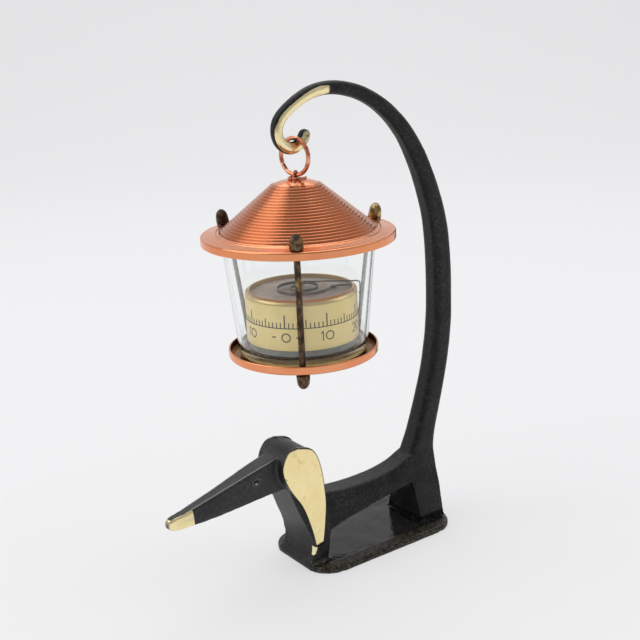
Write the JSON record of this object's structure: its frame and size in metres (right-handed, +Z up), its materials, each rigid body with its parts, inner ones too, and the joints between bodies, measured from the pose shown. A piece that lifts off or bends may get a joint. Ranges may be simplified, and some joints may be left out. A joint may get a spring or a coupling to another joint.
{
  "type": "lantern thermometer",
  "caption": "Desk thermometer: a drum thermometer in a glass and copper lantern that hangs by a ring from the curled tail of a long-nosed dog stand.",
  "frame": {"origin": "centre of the base's flat underside", "axes": "+Z up; the dog faces -X and its tail rises at +X; its left flank faces -Y"},
  "size_m": [0.1289, 0.068, 0.1748],
  "materials": {
    "black_brass": "black patina on cast brass, polished through at the ears, nose and hook",
    "copper_wire": "bright copper wire",
    "copper": "polished spun copper",
    "dark_brass": "darkened brass",
    "clear_glass": "clear",
    "grey_foot": "matt grey",
    "gilt_brass": "satin gold",
    "printed_band": "satin gold with a printed degree scale",
    "silvered_plate": "satin",
    "coil_strip": "dull dark strip",
    "pointer_wire": "dull wire"
  },
  "bodies": {
    "stand": {"dog_stand": "black_brass"},
    "ring": {"hanging_ring": "copper_wire"},
    "eye": {"roof_eye": "copper_wire", "eye_washer": "dark_brass"},
    "lantern": {"roof": "copper", "top_cap_nuts": "dark_brass", "tie_rods": "dark_brass", "bottom_cap_nuts": "dark_brass", "tray": "copper", "glass": "clear_glass", "drum_foot": "grey_foot", "drum_case": "gilt_brass", "scale_band": "printed_band", "dial_dish": "silvered_plate", "arbor_bush": "gilt_brass", "footstep_bearing": "gilt_brass", "coil_anchor": "coil_strip", "bimetal_coil": "coil_strip"},
    "pointer": {"arbor": "gilt_brass", "pointer_collet": "gilt_brass", "pointer": "pointer_wire"}
  },
  "joints": [
    {"name": "ring_swing", "type": "hinge", "parent": "stand", "child": "ring", "pos_m": [-0.0245, 0, 0.1535], "axis": [-0.9744, -0.225, 0], "range_deg": [-30, 30]},
    {"name": "lantern_swing", "type": "hinge", "parent": "ring", "child": "eye", "pos_m": [-0.0245, 0, 0.1443], "axis": [0.225, -0.9744, 0], "range_deg": [-30, 30]},
    {"name": "lantern_turn", "type": "hinge", "parent": "eye", "child": "lantern", "pos_m": [-0.0245, 0, 0.1425], "axis": [0, 0, 1], "continuous": true},
    {"name": "pointer_turn", "type": "hinge", "parent": "lantern", "child": "pointer", "pos_m": [-0.0245, 0, 0.1], "axis": [0, 0, 1], "range_deg": [-226.8, 109.2]}
  ]
}
